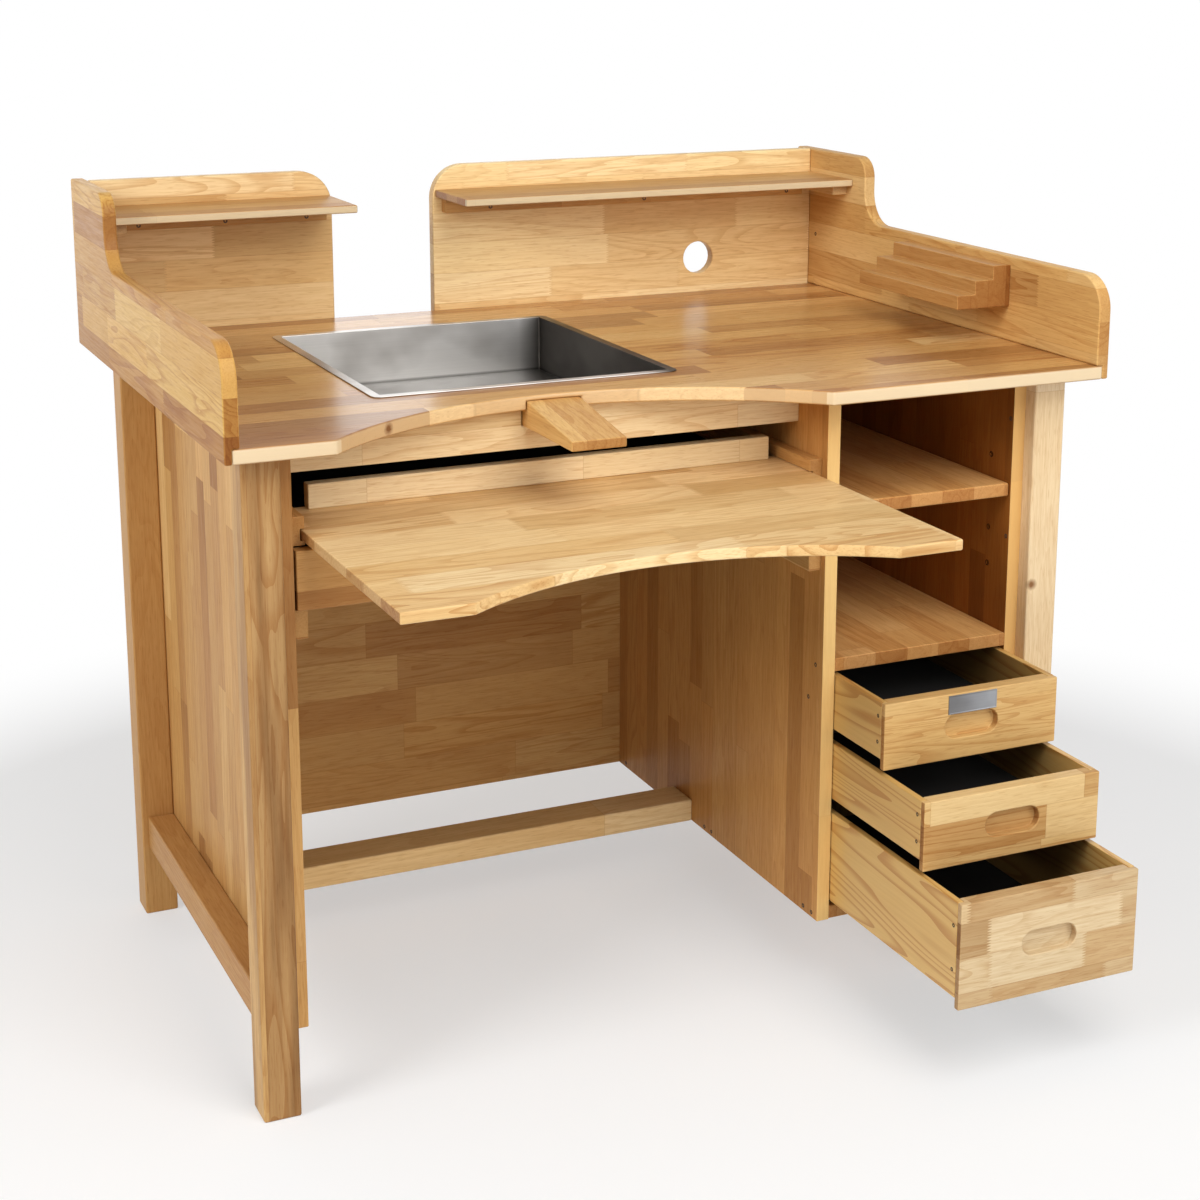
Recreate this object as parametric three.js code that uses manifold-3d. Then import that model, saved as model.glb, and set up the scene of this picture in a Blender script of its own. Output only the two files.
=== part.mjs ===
// A jeweler's bench of glued-up hardwood boards. Four square legs carry a worktop with a round
// recess for the worker, a steel pan let into it and a bench pin in its front edge. Shaped wings,
// back boards and narrow shelves stand round the top. Below are a sliding tray over a shallow
// sweep drawer in the kneehole, and a cabinet with a loose shelf and three drawers.
// X runs to the right, Y to the back and Z up, in millimetres.

import * as THREE from 'three';
import { mergeVertices } from 'three/addons/utils/BufferGeometryUtils.js';
import Module from 'manifold-3d';

const wasm = await Module();
wasm.setup();

// Boards and legs
const BOARD = 20;
const LEG = 52;
const BASE_WIDTH = 1242;
const BASE_DEPTH = 753;
const WORKTOP_HEIGHT = 940;
const WORKTOP_THICKNESS = 20;

// Panels between the legs
const PANEL_LIFT = 115;
const PANEL_SETBACK = 24;
const PANEL_REAR_SETBACK = 4;
const KNEE_WIDTH = 784;
const RAIL_INSET = 9.5;
const RAIL_HEIGHT = 52;
const STRETCHER_FRONT = 440;
const STRETCHER_DEPTH = 68;
const STRETCHER_HEIGHT = 37;
const APRON_FRONT = 110;
const APRON_HEIGHT = 58;

// Worktop
const FRONT_OVERHANG = 55;
const REAR_OVERHANG = 39;
const RECESS_CHORD = 708;
const RECESS_DEPTH = 148.5;

// Wings at both ends of the worktop
const WING_OVERHANG = 33;
const WING_REBATE = 10;
const WING_TAIL = 48;
const WING_LOW_RISE = 130;
const WING_HIGH_RISE = 240;
const WING_UPRIGHT = 605;
const WING_NOSE_RADIUS = 50;
const WING_FOOT_RADIUS = 60;
const WING_SHOULDER_RADIUS = 35;

// Back boards, their shelves and the cable hole
const LEFT_BOARD_LENGTH = 386;
const BACK_GAP = 172;
const BOARD_CORNER_RADIUS = 55;
const SHELF_DROP = 40;
const SHELF_THICKNESS = 12;
const SHELF_DEPTH = 147;
const SHELF_END_INSET = 4;
const CLEAT_THICKNESS = 20;
const CLEAT_HEIGHT = 25;
const CLEAT_END_INSET = 11;
const CLEAT_WING_INSET = 27;
const CABLE_HOLE_DIAMETER = 56;
const CABLE_HOLE_RISE = 59;
const CABLE_HOLE_FROM_WING = 221;

// Stepped tool rack on the right wing
const RACK_STEPS = 3;
const RACK_TREAD = 31.3;
const RACK_RISER = 21.3;
const RACK_LIFT = 54;
const RACK_FRONT = 170;
const RACK_LENGTH = 289;

// Steel pan, let into the worktop
const PAN_WIDTH = 460;
const PAN_FRONT_MARGIN = 66.5;
const PAN_REAR_MARGIN = 128;
const PAN_CENTRE_SHIFT = -6;
const PAN_FLANGE = 12;
const PAN_SHEET = 1.5;
const PAN_DROP = 86;
const PAN_RIM_RADIUS = 14;
const PAN_FOLD_RADIUS = 2;
const PAN_CUTOUT_CLEARANCE = 2;

// Bench pin, a wedge in a pocket of the worktop's edge
const PIN_WIDTH = 79;
const PIN_REACH = 153;
const PIN_TANG = 48;
const PIN_BUTT_THICKNESS = 37.5;
const PIN_TIP_THICKNESS = 13.5;
const PIN_TOP_COVER = 8;
const PIN_CLEARANCE = 1.5;
const PIN_HEADROOM = 0.5;

// Sliding tray, its stop board and grooved runners
const TRAY_DROP = 116.4;
const TRAY_THICKNESS = 15;
const TRAY_DEPTH = 499;
const TRAY_PULL = 371;
const TRAY_SIDE_CLEARANCE = 1.5;
const TRAY_HEADROOM = 0.7;
const TRAY_RECESS_CHORD = 568;
const TRAY_RECESS_DEPTH = 92;
const STOP_HEIGHT = 34.4;
const STOP_LEFT_INSET = 37.5;
const STOP_RIGHT_INSET = 20.5;
const RUNNER_THICKNESS = 20;
const RUNNER_SETBACK = 15;
const RUNNER_REAR_GAP = 30;
const RUNNER_UPPER_LIP = 17;
const RUNNER_LOWER_LIP = 6;
const RUNNER_GROOVE = 6;

// Sweep drawer under the tray
const SWEEP_GAP = 2.3;
const SWEEP_HEIGHT = 81;
const SWEEP_LENGTH = 536;
const SWEEP_SIDE_CLEARANCE = 3;
const SWEEP_WALL = 12;
const SWEEP_FRONT_LIFT = 1.5;
const SWEEP_BOX_DROP = 5;
const SWEEP_RUNNER_HEIGHT = 40;
const SWEEP_RUNNER_SETBACK = 12;
const SWEEP_RUNNER_REAR_GAP = 33;

// Cabinet drawers, from the bottom up
const DRAWER_HEIGHTS = [154.5, 101.5, 99];
const DRAWER_PULLS = [323, 225, 116];
const DRAWER_NAMES = ['lower_drawer', 'middle_drawer', 'upper_drawer'];
const DUST_BOARD_NAMES = ['lower_dust_board', 'middle_dust_board', 'upper_dust_board'];
const DRAWER_LENGTH = 600;
const DRAWER_FRONT = 22;
const DRAWER_FRONT_LIP = 15;
const DRAWER_OVERLAP = 5.5;
const DRAWER_WALL = 10;
const DRAWER_LAP = 12;
const DRAWER_BOTTOM = 5;
const DRAWER_BOTTOM_LIFT = 6;
const DRAWER_SIDE_CLEARANCE = 1.5;
const DRAWER_SPACING = 7;
const DRAWER_HEADROOM = 5.5;
const DUST_BOARD = 12;
const DUST_BOARD_SETBACK = 16;
const CABINET_BOTTOM_SETBACK = 2;
const SLOT_WIDTH = 89;
const SLOT_HEIGHT = 36;
const SLOT_DEPTH = 12;

// Loose cabinet shelf on pins
const SHELF_LIFT = 212;
const LOOSE_SHELF_CLEARANCE = 1.5;
const LOOSE_SHELF_SETBACK = 3;
const LOOSE_SHELF_REAR_GAP = 29;
const PEG_DIAMETER = 6;
const PEG_LENGTH = 18;
const PEG_SOCKET = 9.7;
const PEG_FIT = 0.3;
const PEG_FRONT_INSET = 51;
const PEG_REAR_INSET = 60;
const PEG_PITCH = 56.4;
const PEG_ROWS_BELOW = 2;
const PEG_ROWS_ABOVE = 1;

// Small values shared by several pieces
const RUN_GAP = 0.3;
const POKE = 1;

// Heights, widths and depths that follow from the sizes above
const underside = WORKTOP_HEIGHT - WORKTOP_THICKNESS;
const halfBase = BASE_WIDTH / 2;
const kneeLeft = -halfBase + LEG + BOARD;
const kneeRight = kneeLeft + KNEE_WIDTH;
const kneeMiddle = (kneeLeft + kneeRight) / 2;
const bayLeft = kneeRight + BOARD;
const bayRight = halfBase - LEG - BOARD;
const bayMiddle = (bayLeft + bayRight) / 2;
const panelRear = BASE_DEPTH - PANEL_REAR_SETBACK;
const backPanelFront = panelRear - BOARD;
const topFront = -FRONT_OVERHANG;
const topRear = BASE_DEPTH + REAR_OVERHANG;
const wingOuter = halfBase + WING_OVERHANG;
const wingInner = wingOuter - BOARD;
const wingRear = topRear + WING_TAIL;
const wingLow = WORKTOP_HEIGHT + WING_LOW_RISE;
const wingHigh = WORKTOP_HEIGHT + WING_HIGH_RISE;
const recessBack = topFront + RECESS_DEPTH;
const drawerClosedFace = PANEL_SETBACK - DRAWER_FRONT;

const parts = new THREE.Group();

// Finishes
const FINISH = {
  honeyWood: { color: 0xcfa468, roughness: 0.42, metalness: 0 },
  paleWood: { color: 0xdfc08a, roughness: 0.42, metalness: 0 },
  pine: { color: 0xcdaa62, roughness: 0.5, metalness: 0 },
  darkLining: { color: 0x14110d, roughness: 0.85, metalness: 0 },
  brushedSteel: { color: 0xb9bab8, roughness: 0.3, metalness: 1 },
};

function add(name, geometry, finish) {
  const material = new THREE.MeshStandardMaterial(finish);
  const mesh = new THREE.Mesh(geometry, material);
  mesh.name = name;
  parts.add(mesh);
  return mesh;
}

// A rectangular board given by its low and high limits along each axis
function block(x, y, z) {
  const geometry = new THREE.BoxGeometry(x[1] - x[0], y[1] - y[0], z[1] - z[0]);
  geometry.translate((x[0] + x[1]) / 2, (y[0] + y[1]) / 2, (z[0] + z[1]) / 2);
  return geometry;
}

// An outline in plan, raised from one height to another
function raise(shape, z, curveSegments = 12) {
  const settings = { depth: z[1] - z[0], bevelEnabled: false, curveSegments };
  const geometry = new THREE.ExtrudeGeometry(shape, settings);
  geometry.translate(0, 0, z[0]);
  return geometry;
}

// An outline drawn in Y and Z, drawn out along X
function drawAlongX(shape, x, curveSegments = 12) {
  const settings = { depth: x[1] - x[0], bevelEnabled: false, curveSegments };
  const geometry = new THREE.ExtrudeGeometry(shape, settings);
  const turn = new THREE.Matrix4();
  turn.makeBasis(new THREE.Vector3(0, 1, 0), new THREE.Vector3(0, 0, 1), new THREE.Vector3(1, 0, 0));
  geometry.applyMatrix4(turn);
  geometry.translate(x[0], 0, 0);
  return geometry;
}

// An outline drawn in X and Z, drawn out along Y
function drawAlongY(shape, y, curveSegments = 12) {
  const settings = { depth: y[1] - y[0], bevelEnabled: false, curveSegments };
  const geometry = new THREE.ExtrudeGeometry(shape, settings);
  const turn = new THREE.Matrix4();
  turn.makeBasis(new THREE.Vector3(1, 0, 0), new THREE.Vector3(0, 0, 1), new THREE.Vector3(0, -1, 0));
  geometry.applyMatrix4(turn);
  geometry.translate(0, y[1], 0);
  return geometry;
}

function toSolid(geometry) {
  const bare = geometry.clone();
  bare.deleteAttribute('normal');
  bare.deleteAttribute('uv');
  const welded = mergeVertices(bare);
  const vertProperties = new Float32Array(welded.attributes.position.array);
  const triVerts = new Uint32Array(welded.index.array);
  return new wasm.Manifold(new wasm.Mesh({ numProp: 3, vertProperties, triVerts }));
}

function toGeometry(solid) {
  const mesh = solid.getMesh();
  const geometry = new THREE.BufferGeometry();
  geometry.setAttribute('position', new THREE.BufferAttribute(mesh.vertProperties, 3));
  geometry.setIndex(new THREE.BufferAttribute(mesh.triVerts, 1));
  geometry.computeVertexNormals();
  return geometry;
}

function cut(geometry, cutters) {
  let solid = toSolid(geometry);
  for (const cutter of cutters) {
    solid = solid.subtract(toSolid(cutter));
  }
  return toGeometry(solid);
}

function outline(points) {
  return new THREE.Shape(points.map(([x, y]) => new THREE.Vector2(x, y)));
}

function roundedRectangle(x, y, radius) {
  const r = Math.min(radius, (x[1] - x[0]) / 2, (y[1] - y[0]) / 2);
  const shape = new THREE.Shape();
  shape.moveTo(x[0] + r, y[0]);
  shape.lineTo(x[1] - r, y[0]);
  shape.absarc(x[1] - r, y[0] + r, r, -Math.PI / 2, 0);
  shape.lineTo(x[1], y[1] - r);
  shape.absarc(x[1] - r, y[1] - r, r, 0, Math.PI / 2);
  shape.lineTo(x[0] + r, y[1]);
  shape.absarc(x[0] + r, y[1] - r, r, Math.PI / 2, Math.PI);
  shape.lineTo(x[0], y[0] + r);
  shape.absarc(x[0] + r, y[0] + r, r, Math.PI, Math.PI * 1.5);
  return shape;
}

// A board in plan whose front edge is scooped out in a round arc
function scoopedBoard(x, y, middle, chord, depth) {
  const half = chord / 2;
  const radius = (half * half + depth * depth) / (2 * depth);
  const centreY = y[0] + depth - radius;
  const start = Math.atan2(y[0] - centreY, -half);
  const end = Math.atan2(y[0] - centreY, half);
  const shape = new THREE.Shape();
  shape.moveTo(x[0], y[0]);
  shape.lineTo(middle - half, y[0]);
  shape.absarc(middle, centreY, radius, start, end, true);
  shape.lineTo(x[1], y[0]);
  shape.lineTo(x[1], y[1]);
  shape.lineTo(x[0], y[1]);
  return shape;
}

// Legs, one at each corner
function addLegs() {
  const columns = { left: [-halfBase, -halfBase + LEG], right: [halfBase - LEG, halfBase] };
  const rows = { front: [0, LEG], back: [BASE_DEPTH - LEG, BASE_DEPTH] };
  for (const [side, x] of Object.entries(columns)) {
    for (const [end, y] of Object.entries(rows)) {
      add(`${side}_${end}_leg`, block(x, y, [0, underside]), FINISH.honeyWood);
    }
  }
}

// Low rails between the legs, set in from their outer faces, with the side panels inside them
function addSides() {
  const railY = [LEG, BASE_DEPTH - LEG];
  const railZ = [PANEL_LIFT, PANEL_LIFT + RAIL_HEIGHT];
  const outer = halfBase - RAIL_INSET;
  const inner = halfBase - LEG;
  add('left_side_rail', block([-outer, -inner], railY, railZ), FINISH.honeyWood);
  add('right_side_rail', block([inner, outer], railY, railZ), FINISH.honeyWood);

  const panelY = [PANEL_SETBACK, panelRear];
  const panelZ = [PANEL_LIFT, underside];
  add('left_side_panel', block([-inner, kneeLeft], panelY, panelZ), FINISH.honeyWood);
  const rightSide = block([bayRight, inner], panelY, panelZ);
  const rightSockets = pegSockets([bayRight - POKE, bayRight + PEG_SOCKET]);
  add('cabinet_right_side', cut(rightSide, rightSockets), FINISH.honeyWood);
  const partition = block([kneeRight, bayLeft], [PANEL_SETBACK, backPanelFront], panelZ);
  const leftSockets = pegSockets([bayLeft - PEG_SOCKET, bayLeft + POKE]);
  add('cabinet_partition', cut(partition, leftSockets), FINISH.honeyWood);
  add('back_panel', block([kneeLeft, bayRight], [backPanelFront, panelRear], panelZ), FINISH.honeyWood);
}

// A foot rest across the kneehole, and the apron that stiffens the worktop over it
function addKneehole() {
  const stretcherY = [STRETCHER_FRONT, STRETCHER_FRONT + STRETCHER_DEPTH];
  const stretcherZ = [PANEL_LIFT, PANEL_LIFT + STRETCHER_HEIGHT];
  add('foot_stretcher', block([kneeLeft, kneeRight], stretcherY, stretcherZ), FINISH.honeyWood);

  const apronY = [APRON_FRONT, APRON_FRONT + BOARD];
  const apron = block([kneeLeft, kneeRight], apronY, [underside - APRON_HEIGHT, underside]);
  const notchY = [apronY[0] - POKE, apronY[1] + POKE];
  const notch = block(pinPocketX, notchY, [pinBottom - RUN_GAP, underside + POKE]);
  add('apron', cut(apron, [notch]), FINISH.paleWood);
}

// Bench pin: flat below, sloping down to its tip above, with a tang in the worktop's pocket
const pinTop = WORKTOP_HEIGHT - PIN_TOP_COVER;
const pinBottom = pinTop - PIN_BUTT_THICKNESS;
const pinX = [kneeMiddle - PIN_WIDTH / 2, kneeMiddle + PIN_WIDTH / 2];
const pinPocketX = [pinX[0] - PIN_CLEARANCE, pinX[1] + PIN_CLEARANCE];
const pinTip = recessBack - PIN_REACH;
const pinEnd = recessBack + PIN_TANG;

function addBenchPin() {
  const profile = outline([
    [pinTip, pinBottom],
    [pinEnd, pinBottom],
    [pinEnd, pinTop],
    [recessBack, pinTop],
    [pinTip, pinBottom + PIN_TIP_THICKNESS],
  ]);
  add('bench_pin', drawAlongX(profile, pinX), FINISH.paleWood);
}

// Worktop, with the round recess, the pan's cut-out and the pin's pocket from below
const panMiddle = kneeMiddle + PAN_CENTRE_SHIFT;
const panX = [panMiddle - PAN_WIDTH / 2, panMiddle + PAN_WIDTH / 2];
const panY = [recessBack + PAN_FRONT_MARGIN, topRear - PAN_REAR_MARGIN];

function inset(limits, distance) {
  return [limits[0] + distance, limits[1] - distance];
}

function addWorktop() {
  const x = [-wingInner - WING_REBATE, wingInner + WING_REBATE];
  const shape = scoopedBoard(x, [topFront, topRear], kneeMiddle, RECESS_CHORD, RECESS_DEPTH);
  const board = raise(shape, [underside, WORKTOP_HEIGHT], 32);
  const edge = PAN_FLANGE - PAN_CUTOUT_CLEARANCE;
  const cutout = block(inset(panX, edge), inset(panY, edge), [underside - POKE, WORKTOP_HEIGHT + POKE]);
  const pocketY = [topFront, pinEnd + PIN_CLEARANCE];
  const pocket = block(pinPocketX, pocketY, [underside - POKE, pinTop + PIN_HEADROOM]);
  add('worktop', cut(board, [cutout, pocket]), FINISH.honeyWood);
}

// Steel pan: a folded sheet with a flange that lies on the worktop
function addPan() {
  const rim = WORKTOP_HEIGHT + RUN_GAP;
  const bodyX = inset(panX, PAN_FLANGE);
  const bodyY = inset(panY, PAN_FLANGE);
  const floor = rim - PAN_DROP;
  const flange = raise(roundedRectangle(panX, panY, PAN_RIM_RADIUS), [rim, rim + PAN_SHEET], 5);
  const bodyShape = roundedRectangle(bodyX, bodyY, PAN_FOLD_RADIUS + PAN_SHEET);
  const body = raise(bodyShape, [floor, rim + PAN_SHEET / 2], 3);
  const hollowShape = roundedRectangle(inset(bodyX, PAN_SHEET), inset(bodyY, PAN_SHEET), PAN_FOLD_RADIUS);
  const hollow = raise(hollowShape, [floor + PAN_SHEET, rim + PAN_SHEET + POKE], 3);
  const shell = toSolid(flange).add(toSolid(body)).subtract(toSolid(hollow));
  add('steel_pan', toGeometry(shell), FINISH.brushedSteel);
}

// Wings: low along the sides, swept up to the back, rebated over the ends of the worktop
function wingOutline() {
  const step = wingHigh - wingLow;
  const foot = Math.min(WING_FOOT_RADIUS, step / 2);
  const shoulder = Math.min(WING_SHOULDER_RADIUS, step / 2);
  const nose = Math.min(WING_NOSE_RADIUS, wingLow - underside);
  const shape = new THREE.Shape();
  shape.moveTo(topFront, underside);
  shape.lineTo(wingRear, underside);
  shape.lineTo(wingRear, wingHigh);
  shape.lineTo(WING_UPRIGHT + shoulder, wingHigh);
  shape.absarc(WING_UPRIGHT + shoulder, wingHigh - shoulder, shoulder, Math.PI / 2, Math.PI);
  shape.lineTo(WING_UPRIGHT, wingLow + foot);
  shape.absarc(WING_UPRIGHT - foot, wingLow + foot, foot, 0, -Math.PI / 2, true);
  shape.lineTo(topFront + nose, wingLow);
  shape.absarc(topFront + nose, wingLow - nose, nose, Math.PI / 2, Math.PI);
  return shape;
}

function addWings() {
  const rebateY = [topFront - POKE, topRear];
  const rebateZ = [underside - POKE, WORKTOP_HEIGHT];
  const edge = wingInner + WING_REBATE;
  const left = drawAlongX(wingOutline(), [-wingOuter, -wingInner], 8);
  add('left_wing', cut(left, [block([-edge, -wingInner + POKE], rebateY, rebateZ)]), FINISH.honeyWood);
  const right = drawAlongX(wingOutline(), [wingInner, wingOuter], 8);
  add('right_wing', cut(right, [block([wingInner - POKE, edge], rebateY, rebateZ)]), FINISH.honeyWood);
}

// Back boards on the worktop's rear edge, with one rounded top corner each, at the middle gap
function boardOutline(wingEnd, freeEnd) {
  const towards = Math.sign(wingEnd - freeEnd);
  const radius = BOARD_CORNER_RADIUS;
  const arcX = freeEnd + towards * radius;
  const shape = new THREE.Shape();
  shape.moveTo(wingEnd, underside);
  shape.lineTo(freeEnd, underside);
  shape.lineTo(freeEnd, wingHigh - radius);
  shape.absarc(arcX, wingHigh - radius, radius, towards > 0 ? Math.PI : 0, Math.PI / 2, towards > 0);
  shape.lineTo(wingEnd, wingHigh);
  return shape;
}

function addGallery() {
  const boardY = [topRear, topRear + BOARD];
  const leftEnd = -wingInner + LEFT_BOARD_LENGTH;
  const rightEnd = leftEnd + BACK_GAP;
  add('left_back_board', drawAlongY(boardOutline(-wingInner, leftEnd), boardY, 10), FINISH.paleWood);
  const rightBoard = drawAlongY(boardOutline(wingInner, rightEnd), boardY, 10);
  const holeRadius = CABLE_HOLE_DIAMETER / 2;
  const hole = new THREE.CylinderGeometry(holeRadius, holeRadius, BOARD + 2 * POKE, 24);
  hole.translate(wingInner - CABLE_HOLE_FROM_WING, topRear + BOARD / 2, WORKTOP_HEIGHT + CABLE_HOLE_RISE);
  add('right_back_board', cut(rightBoard, [hole]), FINISH.paleWood);

  const shelfY = [topRear - SHELF_DEPTH, topRear];
  const shelfZ = [wingHigh - SHELF_DROP - SHELF_THICKNESS, wingHigh - SHELF_DROP];
  const cleatY = [topRear - CLEAT_THICKNESS, topRear];
  const cleatZ = [shelfZ[0] - CLEAT_HEIGHT, shelfZ[0]];
  const leftX = [-wingInner, leftEnd - SHELF_END_INSET];
  const rightX = [rightEnd + SHELF_END_INSET, wingInner];
  add('left_gallery_shelf', block(leftX, shelfY, shelfZ), FINISH.paleWood);
  add('right_gallery_shelf', block(rightX, shelfY, shelfZ), FINISH.paleWood);
  const leftCleatX = [leftX[0] + CLEAT_WING_INSET, leftX[1] - CLEAT_END_INSET];
  const rightCleatX = [rightX[0] + CLEAT_END_INSET, rightX[1] - CLEAT_WING_INSET];
  add('left_shelf_cleat', block(leftCleatX, cleatY, cleatZ), FINISH.honeyWood);
  add('right_shelf_cleat', block(rightCleatX, cleatY, cleatZ), FINISH.honeyWood);
}

// Tool rack: strips stacked like stairs against the right wing
function addToolRack() {
  const low = WORKTOP_HEIGHT + RACK_LIFT;
  const points = [[wingInner, low]];
  for (let step = 0; step < RACK_STEPS; step += 1) {
    const nose = wingInner - (RACK_STEPS - step) * RACK_TREAD;
    points.unshift([nose, low + step * RACK_RISER]);
    points.unshift([nose, low + (step + 1) * RACK_RISER]);
  }
  points.unshift([wingInner, low + RACK_STEPS * RACK_RISER]);
  const profile = outline(points.reverse());
  add('tool_rack', drawAlongY(profile, [RACK_FRONT, RACK_FRONT + RACK_LENGTH]), FINISH.honeyWood);
}

// Sliding tray with the same round recess, shown pulled out, and the board that stops things behind it
const trayTop = underside - TRAY_DROP;
const trayZ = [trayTop - TRAY_THICKNESS, trayTop];
const trayInset = RUNNER_THICKNESS - RUNNER_GROOVE + TRAY_SIDE_CLEARANCE;
const trayX = [kneeLeft + trayInset, kneeRight - trayInset];
const trayFront = PANEL_SETBACK - TRAY_PULL;
const trayRear = trayFront + TRAY_DEPTH;

function addTray() {
  const shape = scoopedBoard(trayX, [trayFront, trayRear], kneeMiddle, TRAY_RECESS_CHORD, TRAY_RECESS_DEPTH);
  add('sliding_tray', raise(shape, trayZ, 24), FINISH.paleWood);
  const stopX = [trayX[0] + STOP_LEFT_INSET, trayX[1] - STOP_RIGHT_INSET];
  const stopZ = [trayTop, trayTop + STOP_HEIGHT];
  add('tray_stop_board', block(stopX, [trayRear - BOARD, trayRear], stopZ), FINISH.paleWood);
}

// Grooved runners that carry the tray's edges
const grooveZ = [trayZ[0] - RUN_GAP, trayZ[1] + TRAY_HEADROOM];
const runnerZ = [grooveZ[0] - RUNNER_LOWER_LIP, grooveZ[1] + RUNNER_UPPER_LIP];

function runnerOutline(wall, inward) {
  const face = wall + inward * RUNNER_THICKNESS;
  const groove = face - inward * RUNNER_GROOVE;
  const points = [
    [wall, runnerZ[0]],
    [face, runnerZ[0]],
    [face, grooveZ[0]],
    [groove, grooveZ[0]],
    [groove, grooveZ[1]],
    [face, grooveZ[1]],
    [face, runnerZ[1]],
    [wall, runnerZ[1]],
  ];
  return outline(inward > 0 ? points : points.reverse());
}

function addTrayRunners() {
  const y = [PANEL_SETBACK + RUNNER_SETBACK, backPanelFront - RUNNER_REAR_GAP];
  add('left_tray_runner', drawAlongY(runnerOutline(kneeLeft, 1), y), FINISH.honeyWood);
  add('right_tray_runner', drawAlongY(runnerOutline(kneeRight, -1), y), FINISH.honeyWood);
}

// A plain box without its front: two sides, a back between them and a bottom panel
function addBoxWalls(name, x, y, z, frontInner, wall) {
  const inner = inset(x, wall);
  const backY = [y[1] - wall, y[1]];
  const bottomLow = z[0] + DRAWER_BOTTOM_LIFT;
  const bottomZ = [bottomLow, bottomLow + DRAWER_BOTTOM];
  add(`${name}_left_side`, block([x[0], inner[0]], y, z), FINISH.pine);
  add(`${name}_right_side`, block([inner[1], x[1]], y, z), FINISH.pine);
  add(`${name}_back`, block(inner, backY, z), FINISH.pine);
  add(`${name}_bottom`, block(inner, [frontInner, backY[0]], bottomZ), FINISH.darkLining);
}

// Shallow sweep drawer, closed, on two runners of its own
function addSweepDrawer() {
  const x = inset([kneeLeft, kneeRight], SWEEP_SIDE_CLEARANCE);
  const z = [runnerZ[0] - SWEEP_GAP - SWEEP_HEIGHT, runnerZ[0] - SWEEP_GAP];
  const frontY = [PANEL_SETBACK, PANEL_SETBACK + BOARD];
  add('sweep_drawer_front', block(x, frontY, z), FINISH.honeyWood);
  const boxY = [frontY[1], frontY[0] + SWEEP_LENGTH];
  const boxZ = [z[0] - SWEEP_FRONT_LIFT, z[1] - SWEEP_BOX_DROP];
  addBoxWalls('sweep_drawer', x, boxY, boxZ, frontY[1], SWEEP_WALL);

  const y = [PANEL_SETBACK + SWEEP_RUNNER_SETBACK, backPanelFront - SWEEP_RUNNER_REAR_GAP];
  const runZ = [boxZ[0] - RUN_GAP - SWEEP_RUNNER_HEIGHT, boxZ[0] - RUN_GAP];
  add('left_sweep_runner', block([kneeLeft, kneeLeft + RUNNER_THICKNESS], y, runZ), FINISH.honeyWood);
  add('right_sweep_runner', block([kneeRight - RUNNER_THICKNESS, kneeRight], y, runZ), FINISH.honeyWood);
}

function slotOutline(middleX, middleZ) {
  return roundedRectangle(
    [middleX - SLOT_WIDTH / 2, middleX + SLOT_WIDTH / 2],
    [middleZ - SLOT_HEIGHT / 2, middleZ + SLOT_HEIGHT / 2],
    SLOT_HEIGHT / 2,
  );
}

// One cabinet drawer: a front lapped over the ends of its sides, with a finger slot let into it
function addDrawer(name, bottom, height, pull) {
  const x = inset([bayLeft, bayRight], DRAWER_SIDE_CLEARANCE);
  const z = [bottom, bottom + height];
  const face = drawerClosedFace - pull;
  const frontY = [face, face + DRAWER_FRONT];
  const lapY = [frontY[1] - DRAWER_LAP, frontY[1] + POKE];
  const lapZ = [z[0] - POKE, z[1] + POKE];
  const slotShape = slotOutline(bayMiddle, (z[0] + z[1]) / 2);
  const slot = drawAlongY(slotShape, [face - POKE, face + SLOT_DEPTH], 6);
  const front = cut(block(x, frontY, z), [
    block([x[0] - POKE, x[0] + DRAWER_WALL], lapY, lapZ),
    block([x[1] - DRAWER_WALL, x[1] + POKE], lapY, lapZ),
    slot,
  ]);
  add(`${name}_front`, front, FINISH.paleWood);
  const boxY = [frontY[1] - DRAWER_LAP, face + DRAWER_LENGTH];
  addBoxWalls(name, x, boxY, [z[0] + DRAWER_FRONT_LIP, z[1]], frontY[1], DRAWER_WALL);
}

// Cabinet: bottom, dust boards that the drawers run on, the drawers and the shelf fixed over them
const cabinetFloor = PANEL_LIFT + BOARD;
const drawersBottom = cabinetFloor - DRAWER_OVERLAP;
const drawersHeight = DRAWER_HEIGHTS.reduce((sum, height) => sum + height + DRAWER_SPACING, -DRAWER_SPACING);
const fixedShelfLow = drawersBottom + drawersHeight + DRAWER_HEADROOM;

function addCabinet() {
  const x = [bayLeft, bayRight];
  const bottomY = [PANEL_SETBACK + CABINET_BOTTOM_SETBACK, backPanelFront];
  add('cabinet_bottom', block(x, bottomY, [PANEL_LIFT, cabinetFloor]), FINISH.honeyWood);
  let bottom = drawersBottom;
  DRAWER_HEIGHTS.forEach((height, row) => {
    const seat = bottom + DRAWER_FRONT_LIP - RUN_GAP;
    const dustLow = row === 0 ? cabinetFloor : seat - DUST_BOARD;
    const dustY = [PANEL_SETBACK + DUST_BOARD_SETBACK, backPanelFront];
    add(DUST_BOARD_NAMES[row], block(x, dustY, [dustLow, seat]), FINISH.honeyWood);
    addDrawer(DRAWER_NAMES[row], bottom, height, DRAWER_PULLS[row]);
    bottom += height + DRAWER_SPACING;
  });
  const shelfY = [PANEL_SETBACK, backPanelFront];
  add('cabinet_fixed_shelf', block(x, shelfY, [fixedShelfLow, fixedShelfLow + BOARD]), FINISH.honeyWood);
}

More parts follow.
